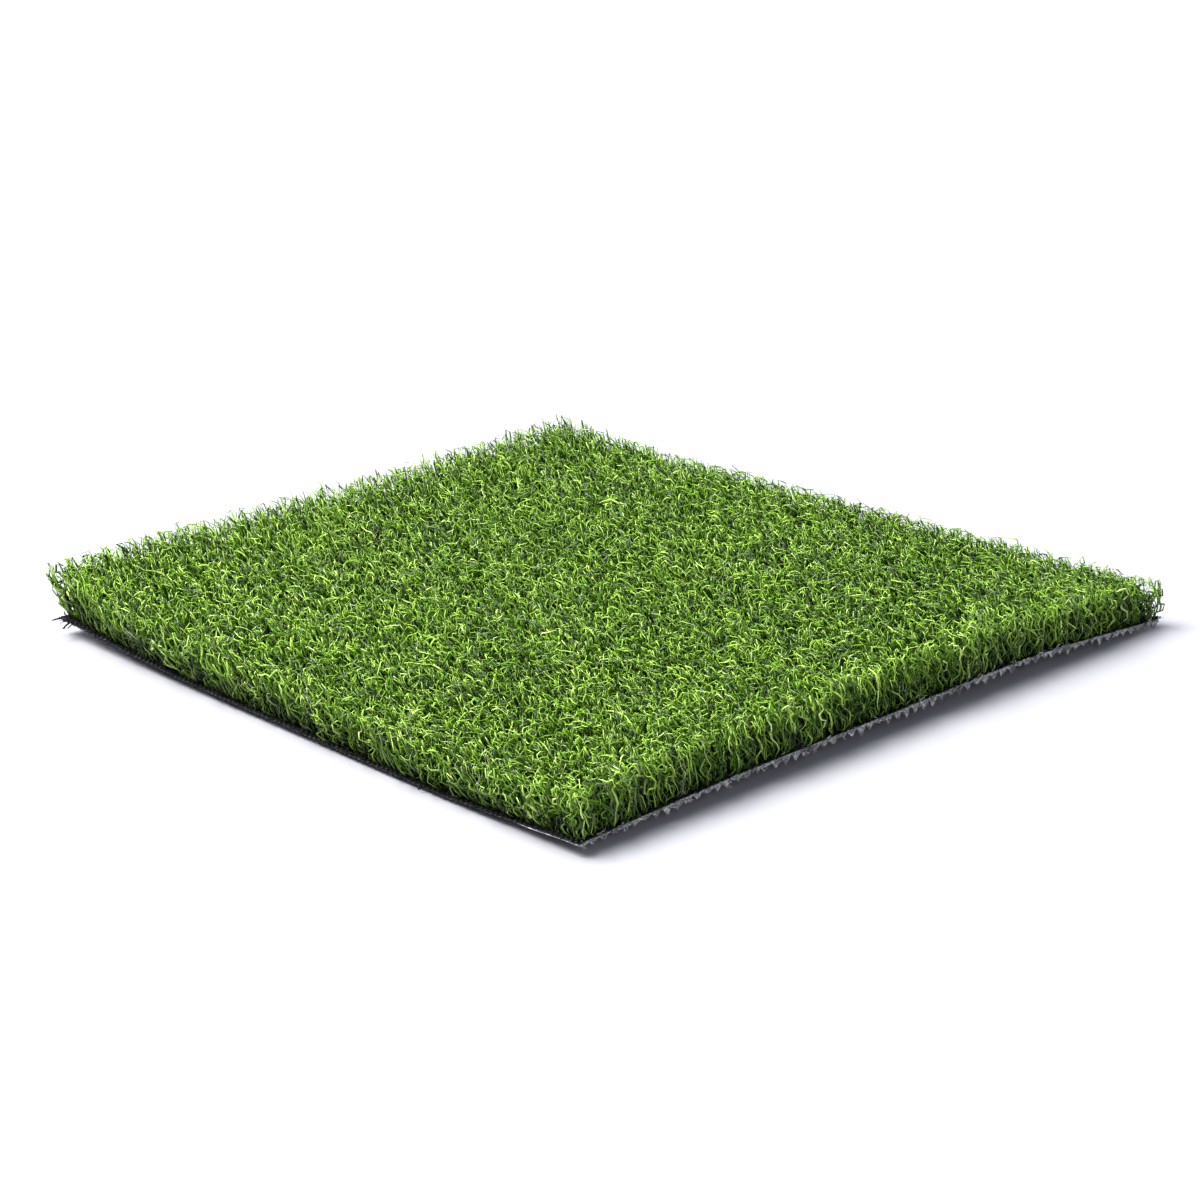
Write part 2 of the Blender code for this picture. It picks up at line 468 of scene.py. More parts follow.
def ribbonMesh(paths, widths, thicks, spins, twists):
    # paths is strands x points x 3; each strand is a thin closed three-sided ribbon
    count, points = paths.shape[:2]
    tangent = unit(np.gradient(paths, axis=1))
    anySide = np.tile(np.array([0.31, 0.87, 0.12]), (count, 1))
    flat = np.empty_like(paths)
    flat[:, 0] = acrossOf(anySide, tangent[:, 0])
    for i in range(1, points):  # carried along without spinning
        flat[:, i] = acrossOf(flat[:, i - 1], tangent[:, i])
    other = np.cross(tangent, flat)
    t = np.linspace(0, 1, points)[None, :]
    angle = (spins[:, None] + twists[:, None] * t)[..., None]
    wide = flat * np.cos(angle) + other * np.sin(angle)
    deep = other * np.cos(angle) - flat * np.sin(angle)
    w, d = widths[..., None] / 2, thicks[..., None]
    ring = np.stack((paths - wide * w, paths + wide * w, paths + deep * d), axis=2)
    first = (np.arange(count) * points * 3)[:, None, None]
    level = first + (np.arange(points - 1) * 3)[None, :, None]
    third = np.arange(3)[None, None, :]
    a, b = level + third, level + (third + 1) % 3
    quads = np.stack((a, b, b + 3, a + 3), axis=-1).reshape(count, -1)
    foot = first[:, 0] + np.array([2, 1, 0])
    tip = first[:, 0] + (points - 1) * 3 + np.array([0, 1, 2])
    corners = np.concatenate((quads, foot, tip), axis=1)
    sizes = np.tile(np.array([4] * (3 * (points - 1)) + [3, 3]), count)
    return ring.reshape(-1, 3), corners, sizes


ribbonLayout = {
    "left": 0.12,  # of a cell's width, before the three sides
    "wide": 0.76,  # that the three sides take
    "foot": 0.02,  # of the map's height
    "high": 0.96,
    # the two ends' corners: in sides' widths across, and up the map
    "ends": ((0.3, 0.02), (2.7, 0.02), (1.5, 0.06), (0.3, 0.98), (2.7, 0.98), (1.5, 0.94)),
}


def ribbonMap(k, cells, cellCount, points):
    # the strands of one colour lie on each other in one cell of the map
    count = len(cells)
    left = (cells + k["left"]) / cellCount
    step = k["wide"] / cellCount / 3
    u = left[:, None, None] + step * np.arange(3)[None, None, :]
    low = k["foot"] + k["high"] * (np.arange(points - 1) / (points - 1))[None, :, None]
    high = k["foot"] + k["high"] * (np.arange(1, points) / (points - 1))[None, :, None]
    u, low, high = np.broadcast_arrays(u, low, high)
    corners = ((u, low), (u + step, low), (u + step, high), (u, high))
    quads = np.stack([np.stack(c, -1) for c in corners], axis=-2).reshape(count, -1, 2)
    ends = np.empty((count, len(k["ends"]), 2))
    for i, (across, up) in enumerate(k["ends"]):
        ends[:, i, 0] = left + across * step
        ends[:, i, 1] = up
    return np.concatenate((quads, ends), axis=1).reshape(-1, 2)


pile = {
    "seed": 41,
    "stitches": 64,  # along a row
    "strands": 10,  # in a tuft
    "points": 11,  # along a strand
    "endGap": 1.6 * mm,  # from the cut ends to the first tuft
    "strayAlong": 0.22 * mm,  # how unevenly the feet stand in a row
    "strayAcross": 0.15 * mm,
    "tuftLong": 1.3 * mm,  # half a tuft, along the row
    "tuftWide": 0.7 * mm,  # and across it
    "sunk": 0.35 * mm,  # how deep in the backing a strand starts
    "bare": 0.6 * mm,  # how far the first rows stand back from the margin
    "bareReach": 26 * mm,
    "bareLeft": 3.2,  # how much further they stand back at the left corner
    "bareLeftReach": 14 * mm,
    "leftGap": 1.0 * mm,  # how far the first tufts there stand in from the side
    "leftGapReach": (10 * mm, 22 * mm),  # along the rows and across them
    # how tall the strands are
    "height": 19.2 * mm,  # above the backing, for an ordinary strand
    "heightSpread": 0.7 * mm,
    "flyers": 0.04,  # share that stands out above the rest
    "flyerExtra": (0.6, 2.2),  # in mm
    "thatch": 0.28,  # share of short, duller strands
    "thatchHeight": (0.42, 0.80),  # as a share of the height
    # how they curl
    "freeReach": 8.0 * mm,  # the strands this near a cut are free on one side
    "freeLeftReach": 20 * mm,
    "headingSpread": 1.1,  # how far a strand turns round on its way up
    "sway": (0.45, 1.15),
    "swayRise": (0.7, 0.4),  # share at the foot, and what the tip has more
    "freeSway": 0.6,
    "waves": (1.1, 2.5),  # from side to side, along a strand
    "freeWaves": 0.7,
    "hookFrom": (0.50, 0.86),  # how far up the tip begins to hook over
    "hook": 2.6,
    "hookSpread": 1.1,
    "hookShape": 0.9,
    "kink": 0.10,
    "splay": 0.30,  # of the tuft's outer strands
    "splaySpread": 0.22,
    "splayFades": 0.9,  # share of it that is gone at the tip
    "homing": 0.6,  # how much of its wandering a free strand loses
    "widest": 5.6,  # sideways reach of a strand, in mm
    "freeWidest": 1.5,  # and how much less it is for a free one
    "freeMost": 1.6,
    # how the whole pile stands: taller or shorter by this share, over this reach
    "growRight": (-0.08, 75 * mm),
    "growFar": (-0.04, 38 * mm),
    "growFarFrom": 30 * mm,
    "growBack": (0.10, 50 * mm),
    "growLeft": (0.30, 34 * mm),
    "growLeftFalls": 0.35,  # share of it that is lost towards the back
    "lean": 5.5 * mm,  # towards -Y at the tips
    "leanCurve": 1.5,
    "flare": 0.8 * mm,  # outwards at all the cuts
    "flareReach": 6 * mm,
    "spill": (0.2, 1.4),  # how strongly a strand at the left corner spills outwards
    "spillReach": 16 * mm,
    "spillOut": 1.5 * mm,
    "spillDown": 2.2 * mm,
    "spillBulge": 0.78,
    "marginEdge": 2 * mm,  # from this far in, the first rows droop less and less
    "droop": (0.2, 1.3),  # how strongly a strand droops over the bare margin
    "droopReach": 4 * mm,
    "droopOut": 2.2 * mm,
    "droopDown": 0.9 * mm,
    "droopCurve": 1.2,
    "hanging": 0.20,  # share of the first rows that hangs down over it
    "hangReach": 6 * mm,
    "hangOut": 3.2 * mm,
    "hangDown": 7.0 * mm,
    "hangCurve": 1.6,
    "overhang": 1.2 * mm,  # past the cuts across the rows, before a strand turns up
    "frontOverhang": 3.2 * mm,  # and past the other two
    "turn": 3.0 * mm,
    "top": 31.2 * mm,  # nothing stands higher
    "ease": 2.5 * mm,
    "lowest": 0.4 * mm,
    "reach": 169.0 * mm,  # nothing is further out
    # the strand itself
    "width": 0.74 * mm,
    "widthSpread": (0.62, 1.25),
    "thickness": 0.26 * mm,
    "thicknessSpread": (0.7, 1.3),
    "taper": (0.85, 0.3, 0.45),  # width at the foot, more halfway up, less at the tip
    "thinner": 0.4,  # towards the tip
    "broader": 0.45,  # the strands at the left corner
    "broaderReach": 22 * mm,
    "twist": 4.5,
    # which shade it takes, from 0 to 1 on the yarn's own scale
    "shade": 0.65,
    "shadeSpread": 0.19,
    "shadeFalls": 0.07,  # painted shade: the strands are darker from the first rows to the last, towards the back
    "shadeRange": (0.26, 0.90),
    "palest": 0.003,  # share of the very pale strands
    "greys": 0.15,  # share of the grey green strands
    "greyShade": (0.09, 0.20),
    "greyCut": 0.18,  # their shade at a cut
    "greyCuts": 0.4,  # share of them that is grey at a cut too
    "thatchDark": 0.6,  # share of the thatch that is darkest, as painted shade in the gaps
    "thatchDarkShade": (0.0, 0.07),
    "thatchShade": (0.1, 0.36),
    "thatchCutShade": (0.28, 0.5),
    "cutBrighter": 0.04,
    "cutEdge": 2 * mm,  # the strands this near a cut take a cut's shades
    "cutReach": 3.5 * mm,
}


def cornerDistance(x, y, signX, signY):
    return np.hypot(x - signX * half, y - signY * half)


def plantFeet(k, rng, rowNumbers):
    # where the strands of these rows start, on the flat square piece
    stitchAt = np.linspace(-half + k["endGap"], half - k["endGap"], k["stitches"])
    row, stitch, _ = np.meshgrid(
        rowNumbers, np.arange(k["stitches"]), np.arange(k["strands"]), indexing="ij"
    )
    row, stitch = row.ravel(), stitch.ravel()
    n = len(row)
    phase = (row % 2) * 0.5 * (stitchAt[1] - stitchAt[0])
    x = stitchAt[stitch] + np.where(stitch < k["stitches"] - 1, phase, 0.0)
    x = x + rng.normal(0, k["strayAlong"], n)
    further = 1.0 + k["bareLeft"] * fade(x + half, k["bareLeftReach"])
    along, across = k["leftGapReach"]
    x = x + k["leftGap"] * fade(x + half, along) * fade(row * gauge, across)
    y = firstRow + row * gauge + rng.normal(0, k["strayAcross"], n)
    y = y + k["bare"] * further * fade(y + half, k["bareReach"])
    return x, y


def makePaths(k, rng, rowNumbers):
    footX, footY = plantFeet(k, rng, rowNumbers)
    n, points = len(footX), k["points"]
    around = rng.uniform(0, 2 * math.pi, n)
    out = np.sqrt(rng.uniform(0, 1, n))
    offX, offY = out * np.cos(around), out * np.sin(around)
    short = rng.uniform(0, 1, n) < k["thatch"]
    flyer = (rng.uniform(0, 1, n) < k["flyers"]) & ~short
    top = k["height"] + rng.normal(0, 1, n) * k["heightSpread"]
    top = np.where(flyer, top + rng.uniform(*k["flyerExtra"], n) * mm, top)
    top = np.where(short, k["height"] * rng.uniform(*k["thatchHeight"], n), top)
    # with nothing pressing on one side, the strands along the cuts curl more
    gap = np.maximum(half - np.maximum(np.abs(footX), np.abs(footY)), 0)
    free = fade(gap, k["freeReach"])
    free = (free + fade(cornerDistance(footX, footY, -1, -1), k["freeLeftReach"]))[:, None]
    path = np.zeros((n, points, 3))
    path[:, 1:] = np.cumsum(curlSteps(k, rng, free, offX, offY), axis=1)
    path *= (top / path[..., 2].max(axis=1))[:, None, None]
    # at a cut the curls stay, but a strand doesn't wander off sideways
    wander = path[:, -1:, :2] * np.linspace(0, 1, points)[None, :, None]
    path[..., :2] -= k["homing"] * np.minimum(free, 1.0)[..., None] * wander
    sideways = np.abs(path[..., :2]).max(axis=(1, 2))
    widest = (k["widest"] - k["freeWidest"] * np.minimum(free[:, 0], k["freeMost"])) * mm
    path[..., :2] *= np.minimum(1.0, widest / np.maximum(sideways, 1e-9))[:, None, None]
    path[..., 0] += (footX + offX * k["tuftLong"])[:, None]
    path[..., 1] += (footY + offY * k["tuftWide"])[:, None]
    path[..., 2] += lie["backingHigh"] - k["sunk"]
    return path, short


def curlSteps(k, rng, free, offX, offY):
    # the way each strand takes, step by step: it starts steep, swings from side to side,
    # then hooks over at the tip
    n, count = len(offX), k["points"] - 1
    t = (np.arange(count) + 0.5)[None, :] / count
    heading = rng.uniform(0, 2 * math.pi, n)[:, None]
    heading = heading + rng.normal(0, k["headingSpread"], n)[:, None] * t
    atFoot, more = k["swayRise"]
    sway = rng.uniform(*k["sway"], n)[:, None] * (atFoot + more * t) * (1 + k["freeSway"] * free)
    waves = rng.uniform(*k["waves"], n)[:, None] + k["freeWaves"] * free
    tilt = sway * np.sin(2 * math.pi * waves * t + rng.uniform(0, 2 * math.pi, n)[:, None])
    begins = rng.uniform(*k["hookFrom"], n)[:, None]
    hook = (k["hook"] * rng.uniform(0, 1, n) ** k["hookSpread"])[:, None]
    tilt = tilt + hook * np.clip((t - begins) / (1 - begins), 0, 1) ** k["hookShape"]
    tilt = tilt + rng.normal(0, k["kink"], (n, count))
    splayX = offX * k["splay"] + rng.normal(0, k["splaySpread"], n)
    splayY = offY * k["splay"] + rng.normal(0, k["splaySpread"], n)
    left = 1 - k["splayFades"] * t
    dx = np.sin(tilt) * np.cos(heading) + splayX[:, None] * left
    dy = np.sin(tilt) * np.sin(heading) + splayY[:, None] * left
    return unit(np.stack((dx, dy, np.cos(tilt)), axis=-1))


def growAt(k, x, y):
    # how much taller or shorter the pile stands here and there
    right, rightReach = k["growRight"]
    far, farReach = k["growFar"]
    back, backReach = k["growBack"]
    left, leftReach = k["growLeft"]
    atFar = fade(half - y, farReach) * np.clip((x + k["growFarFrom"]) / half, 0, 1)
    atLeft = fade(x + half, leftReach) * (1.0 - k["growLeftFalls"] * (y / side + 0.5))
    grow = 1.0 + right * fade(cornerDistance(x, y, 1, 1), rightReach) + far * atFar
    return grow + back * fade(cornerDistance(x, y, -1, 1), backReach) + left * atLeft


def shapePile(k, path, rng):
    # lean, flare at the cuts, spill at the left corner, droop over the margin
    x, y = path[:, 0, 0].copy(), path[:, 0, 1].copy()
    n = len(x)
    rise = np.maximum((path[..., 2] - lie["backingHigh"]) / k["height"], 0.0)
    base = lie["backingHigh"] - k["sunk"]
    path[..., 2] = base + (path[..., 2] - base) * growAt(k, x, y)[:, None]
    path[..., 1] -= k["lean"] * rise ** k["leanCurve"]
    for axis, centre in ((0, x), (1, y)):
        near = fade(half - np.abs(centre), k["flareReach"]) * np.sign(centre)
        path[..., axis] += (k["flare"] * near)[:, None] * rise
    spill = fade(cornerDistance(x, y, -1, -1), k["spillReach"]) * rng.uniform(*k["spill"], n)
    bulge = np.sin(math.pi * k["spillBulge"] * rise)
    path[..., 0] -= (k["spillOut"] * spill)[:, None] * bulge
    path[..., 1] -= (k["spillOut"] * spill)[:, None] * bulge
    path[..., 2] -= (k["spillDown"] * spill)[:, None] * rise**2
    inside = y + half - k["marginEdge"]
    droops = fade(inside, k["droopReach"]) * rng.uniform(*k["droop"], n)
    path[..., 1] -= (k["droopOut"] * droops)[:, None] * rise ** k["droopCurve"]
    path[..., 2] -= (k["droopDown"] * droops)[:, None] * rise ** k["droopCurve"]
    hangs = (rng.uniform(0, 1, n) < k["hanging"]) * fade(inside, k["hangReach"])
    path[..., 1] -= (k["hangOut"] * hangs)[:, None] * rise
    path[..., 2] -= (k["hangDown"] * hangs)[:, None] * rise ** k["hangCurve"]
    # past the cut edges the strands turn up instead of reaching further out
    for axis, room in ((0, k["overhang"]), (1, k["frontOverhang"])):
        over = np.maximum(np.abs(path[..., axis]) - half - room, 0)
        kept = k["turn"] * (1 - fade(over, k["turn"]))
        path[..., axis] -= np.sign(path[..., axis]) * (over - kept)
    return path


def clampPile(k, path):
    over = np.maximum(path[..., 2] - k["top"] + k["ease"], 0)  # eased towards the top
    path[..., 2] -= over - k["ease"] * (1 - fade(over, k["ease"]))
    path[..., 2] = np.maximum(path[..., 2], k["lowest"])
    path[..., :2] = np.clip(path[..., :2], -k["reach"], k["reach"])
    return path


def strandSizes(k, rng, foot):
    n = len(foot)
    t = np.linspace(0, 1, k["points"])[None, :]
    atLeft = fade(cornerDistance(foot[:, 0], foot[:, 1], -1, -1), k["broaderReach"])
    broad = (1 + k["broader"] * atLeft)[:, None] * k["width"]
    atFoot, halfway, atTip = k["taper"]
    taper = atFoot + halfway * np.sin(math.pi * t) - atTip * t**4
    width = broad * rng.uniform(*k["widthSpread"], n)[:, None] * taper
    thick = k["thickness"] * rng.uniform(*k["thicknessSpread"], n)[:, None]
    thick = thick * (1.0 - k["thinner"] * t)
    return width, thick


def strandShades(k, rng, foot, short, piece):
    # which cell of the yarn's map each strand takes
    n = len(foot)
    # painted shade: the rows further back take darker cells
    shade = rng.normal(k["shade"], k["shadeSpread"], n) - k["shadeFalls"] * piece / pieceCount
    shade = np.clip(shade, *k["shadeRange"])
    shade = np.where(rng.uniform(0, 1, n) < k["palest"], 1.0, shade)
    grey = rng.uniform(0, 1, n) < k["greys"]
    brighter = np.clip(shade + k["cutBrighter"], 0, 1)
    atCut = np.where(short, rng.uniform(*k["thatchCutShade"], n), brighter)
    atCut = np.where(grey & (rng.uniform(0, 1, n) < k["greyCuts"]), k["greyCut"], atCut)
    shade = np.where(grey, rng.uniform(*k["greyShade"], n), shade)
    # painted shade: much of the thatch is made near black to darken the gaps between strands
    dark = rng.uniform(0, 1, n) < k["thatchDark"]
    thatch = np.where(
        dark, rng.uniform(*k["thatchDarkShade"], n), rng.uniform(*k["thatchShade"], n)
    )
    shade = np.where(short, thatch, shade)
    inner, cells = yarnLook["innerCells"], yarnLook["cells"]
    innerCell = np.floor(shade * (inner - 1) + 0.5)
    cutCell = inner + np.floor(atCut * (cells - inner - 1) + 0.5)
    gap = half - np.abs(foot).max(axis=1)
    nearCut = fade(np.maximum(gap - k["cutEdge"], 0), k["cutReach"])
    return np.where(rng.uniform(0, 1, n) < nearCut, cutCell, innerCell)


def makePile(k):
    rng = np.random.default_rng(k["seed"])
    made = []
    per = lie["rowsPerPiece"]
    for piece in range(pieceCount):
        path, short = makePaths(k, rng, np.arange(per) + piece * per)
        foot = path[:, 0, :2].copy()
        path = clampPile(k, layDown(shapePile(k, path, rng)))
        width, thick = strandSizes(k, rng, foot)
        cells = strandShades(k, rng, foot, short, piece)
        spin = rng.uniform(0, 2 * math.pi, len(path))
        twist = rng.uniform(-k["twist"], k["twist"], len(path))
        verts, corners, sizes = ribbonMesh(path, width, thick, spin, twist)
        uvs = ribbonMap(ribbonLayout, cells, yarnLook["cells"], k["points"])
        obj = meshObject(f"turf_rows_{piece + 1:02d}", verts, corners, sizes, yarn, uvs)
        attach(obj, "root")
        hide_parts(f"pile_rows_{piece + 1:02d}")
        made.append(obj)
    return made


pilePieces = makePile(pile)
faces = sum(len(o.data.polygons) for o in pilePieces)
report(f"pile made, {len(pilePieces)} pieces, {faces} faces")

backing = {
    "seed": 7,
    "cell": 0.4 * mm,
    "band": 12,  # fine cells in from the cut edge
    "coarse": 12,  # fine cells in one coarse cell
    "thickness": 0.34 * mm,
    "gap": 0.18 * mm,  # over the coating's film
    "wave": 0.13 * mm,  # of the tapes, over and under each other
    "waveShape": 0.4,  # how it dies away inwards
    "cutShare": 0.4,  # of a cell, that still counts as the cut
    "ragged": 0.35 * mm,  # how much the cut line wanders
    "ends": (-1.0, 0.6),
    "hem": 0.42 * mm,  # how far the tapes bend down at the left-front cut
    "hemSpread": (0.5, 1.2),
    "openEnd": 22 * mm,  # at the front corner the rubber shows
}


def gridFaces(n, band, step):
    # fine cells in a band round the edge of the unit square, coarse ones inside it
    index, flat, faces = {}, [], []

    def corner(i, j):
        if (i, j) not in index:
            index[(i, j)] = len(flat)
            flat.append((i / n - 0.5, j / n - 0.5))
        return index[(i, j)]

    lo, hi = band, n - band
    for i in range(n):
        for j in range(n):
            if not (lo <= i < hi and lo <= j < hi):
                ring = ((i, j), (i + 1, j), (i + 1, j + 1), (i, j + 1))
                faces.append([corner(*p) for p in ring])
    for i in range(lo, hi, step):
        for j in range(lo, hi, step):
            a, b = i + step, j + step
            low = [(i + s, j) for s in range(step)] if j == lo else [(i, j)]
            right = [(a, j + s) for s in range(step)] if a == hi else [(a, j)]
            high = [(a - s, b) for s in range(step)] if b == hi else [(a, b)]
            left = [(i, b - s) for s in range(step)] if i == lo else [(i, b)]
            faces.append([corner(*p) for p in low + right + high + left])
    return flat, faces


def awayFromFront(x, openEnd):
    # 1 along most of the left-front cut, falling to 0 near the front corner
    return np.clip((half - openEnd - x) / openEnd, 0, 1)


def makeBacking(k):
    rng = np.random.default_rng(k["seed"])
    cellsInside = (side / k["cell"] - 2 * k["band"]) / k["coarse"]
    n = int(round(cellsInside)) * k["coarse"] + 2 * k["band"]
    flat, faces = gridFaces(n, k["band"], k["coarse"])
    xy = np.array(flat) * side
    x, y = xy[:, 0], xy[:, 1]
    edge = half - np.maximum(np.abs(x), np.abs(y))
    warp = np.sin(x * math.pi / tapeLook["warpPitch"])
    weft = np.sin(y * math.pi / tapeLook["weftPitch"])
    fine = np.clip(1 - edge / (k["band"] * k["cell"]), 0, 1) ** k["waveShape"]
    z = warp * weft * k["wave"] * fine
    # the cut line wanders, and some tapes stand out of it
    atCut = edge < k["cell"] * k["cutShare"]
    shift = np.where(atCut, rng.uniform(*k["ends"], len(x)) * k["ragged"], 0.0)
    onX = np.abs(x) >= np.abs(y)
    x = x + np.where(onX, np.sign(x) * shift, 0)
    y = y + np.where(~onX, np.sign(y) * shift, 0)
    # along the left-front cut the tapes bend down over the rubber
    tuck = awayFromFront(x, k["openEnd"]) * (y < -half + k["cell"])
    hem = tuck * k["hem"] * rng.uniform(*k["hemSpread"], len(x))
    bottom = lie["webTop"] + k["gap"]
    lower = layDown(np.stack((x, y, z + bottom - hem), -1))
    upper = layDown(np.stack((x, y, z + bottom + k["thickness"] - 0.5 * hem), -1))
    count = len(x)
    corners, sizes = [], []
    for f in faces:
        corners.extend(v + count for v in f)
        corners.extend(reversed(f))
        sizes.extend((len(f), len(f)))
    edges = [(a, b) for f in faces for a, b in zip(f, f[1:] + f[:1])]
    known = set(edges)
    for a, b in edges:
        if (b, a) not in known:  # an outer edge
            corners.extend((a, b, b + count, a + count))
            sizes.append(4)
    return meshObject("backing_weave", np.concatenate((lower, upper)), corners, sizes, tape)


backingPiece = makeBacking(backing)
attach(backingPiece, "root")
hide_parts("woven_backing")
report(f"backing made, {len(backingPiece.data.polygons)} faces")

coat = {
    "seed": 19,
    "perGauge": 6,  # mesh lines across one row
    "along": 116,  # mesh lines between the ends
    "endZone": 3 * mm,
    "endLines": (0.0, 0.25, 0.55, 0.95, 1.5, 2.2),  # in mm, in from the cuts
    "ridge": 0.85 * mm,
    "ridgeShape": 0.8,
    "bead": 0.18 * mm,  # one for each stitch
    "rough": 0.05 * mm,
    "topRough": 0.03 * mm,
    "tooth": 1.9 * mm,  # extra depth of the torn stitch ends at the cut edge
    "toothSpread": (0.1, 1.45),
    "toothShape": 1.3,
    "toothReach": 1.6 * mm,
    "jag": 0.46 * mm,
    "tornShort": 0.35,  # what is left of the teeth at the front corner
    "tornReach": 95 * mm,
    "filmReach": 1.6 * mm,  # along the left-front cut only a thin broken film is left
    "filmThin": 0.58,
    "filmChips": 0.34,
    "chips": (-0.5, 1.0),
    "chipCount": 190,
    "cutSpread": (-0.5, 0.15),  # how far the cut line wanders, in mm
    "cutEdge": 0.1 * mm,
    "topShift": 0.4,  # share of it at the top
    "recess": 0.5 * mm,  # of the film behind the tapes
    "lowest": 0.02 * mm,
}


def slabMesh(bottom, top, shape):
    # a closed slab between two grids of points
    count = shape[0] * shape[1]
    i = np.arange(count).reshape(shape)
    quad = np.stack((i[:-1, :-1], i[1:, :-1], i[1:, 1:], i[:-1, 1:]), -1).reshape(-1, 4)
    rim = np.concatenate((i[:, 0], i[-1, 1:], i[-2::-1, -1], i[0, -2:0:-1]))
    after = np.roll(rim, -1)
    walls = np.stack((rim, after, after + count, rim + count), -1)
    corners = np.concatenate((quad + count, quad[:, ::-1], walls)).ravel()
    return np.concatenate((bottom, top)), corners, np.full(len(corners) // 4, 4)


def makeCoat(k):
    rng = np.random.default_rng(k["seed"])
    inner = np.linspace(-half + k["endZone"], half - k["endZone"], k["along"])
    ends = np.array(k["endLines"]) * mm
    xs = np.concatenate((-half + ends, inner, (half - ends)[::-1]))
    ys = np.linspace(-half, half, lie["rows"] * k["perGauge"] + 1)
    x, y = np.meshgrid(xs, ys, indexing="ij")
    row = (y + half) / gauge
    ridge = np.clip(np.cos(2 * math.pi * (row - 0.5)) * 0.5 + 0.5, 0, 1) ** k["ridgeShape"]
    number = np.clip(row.astype(int), 0, lie["rows"] - 1)
    phase = rng.uniform(0, 2 * math.pi, lie["rows"])[number]
    beads = np.sin(x * 2 * math.pi / gauge + phase) * k["bead"]
    rough = rng.normal(0, k["rough"], x.shape)
    nearEnd = fade(half - np.abs(x), k["toothReach"])
    tooth = rng.uniform(*k["toothSpread"], (lie["rows"], 2))[number, (x > 0).astype(int)]
    # near the front corner the stitch ends are torn short
    whole = np.clip((y + half) / k["tornReach"], 0, 1)
    tooth = tooth * (k["tornShort"] + (1 - k["tornShort"]) * whole)
    jag = rng.normal(0, k["jag"], x.shape) * nearEnd
    teeth = ridge ** k["toothShape"] * tooth * nearEnd * k["tooth"]
    low = lie["webBottom"] - (ridge * (k["ridge"] + beads) + teeth + jag * ridge) + rough
    film = fade(y + half, k["filmReach"])
    chipAt = np.linspace(-half, half, k["chipCount"])
    chips = np.interp(xs, chipAt, rng.uniform(*k["chips"], k["chipCount"]))[:, None]
    low = low + film * (lie["webTop"] - low) * (k["filmThin"] + k["filmChips"] * chips)
    high = np.full_like(x, lie["webTop"]) + rng.normal(0, k["topRough"], x.shape)
    wander = rng.uniform(*k["cutSpread"], x.shape) * mm
    cutShift = np.where(half - np.abs(x) < k["cutEdge"], wander, 0) * np.sign(x)
    tuck = awayFromFront(x, backing["openEnd"])
    inward = y + k["recess"] * tuck * np.clip(1 - (y + half) / k["endZone"], 0, 1)
    bottom = layDown(np.stack((x + cutShift, inward, low), -1)).reshape(-1, 3)
    top = layDown(np.stack((x + cutShift * k["topShift"], inward, high), -1)).reshape(-1, 3)
    bottom[:, 2] = np.maximum(bottom[:, 2], k["lowest"])
    mesh = slabMesh(bottom, top, x.shape)
    return meshObject("latex_underside", *mesh, latex)


coatPiece = makeCoat(coat)
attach(coatPiece, "root")
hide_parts("latex_coating")
report(f"coating made, {len(coatPiece.data.polygons)} faces")


def walk(starts, steps, lengths):
    # paths that leave their starts in steps of one size
    count, steps = steps.shape[1], np.cumsum(steps, axis=1)
    path = np.zeros((len(starts), count + 1, 3))
    path[:, 1:] = steps * (np.array(lengths) / count)[:, None, None]
    path += np.array(starts)[:, None, :]
    return path


def threadPiece(k, name, path, width, thick, rng, material):
    n = len(path)
    spin = rng.uniform(0, k["spin"], n)
    twist = rng.uniform(-k["twist"], k["twist"], n)
    return meshObject(name, *ribbonMesh(path, width, thick, spin, twist), material)


fray = {
    "seed": 23,
    "points": 8,
    "width": 0.5 * mm,
    "widthSpread": (0.4, 1.3),
    "thickness": 0.12 * mm,
    "spin": 6.28,  # any way round, in radians
    "twist": 3.0,
    "inset": 0.2 * mm,  # of a tape's start from the cut
    "aside": 0.8,
    # short ends along the cuts: the sides in turn, as axis and sign, how many at each,
    # their slope and its spread, and the shortest and longest in mm
    "cuts": (
        (((1, -1.0),), 46, (0.0, 0.2), (0.6, 2.2)),
        (((0, 1.0),), 60, (-0.1, 0.3), (0.5, 1.6)),
        (((0, -1.0), (1, 1.0)), 40, (0.0, 0.2), (0.6, 2.4)),
    ),
    # longer ones at the torn tips: how many, how far in, which way and how long, in mm
    "rightTip": (22, (2.5, 5), ((0.5, 0.4), (0.9, 0.3), (-0.1, 0.25)), (1.5, 4.0)),
    "leftTip": (9, 10, ((-0.5, 0.4), -0.9, (-0.1, 0.2)), (2.0, 7.0)),
    "curl": 1.1,
    "kink": 0.12,
    "lowestFlat": lie["webBottom"] * 0.3,  # before the corners curl up
    "lowest": 0.3 * mm,
}


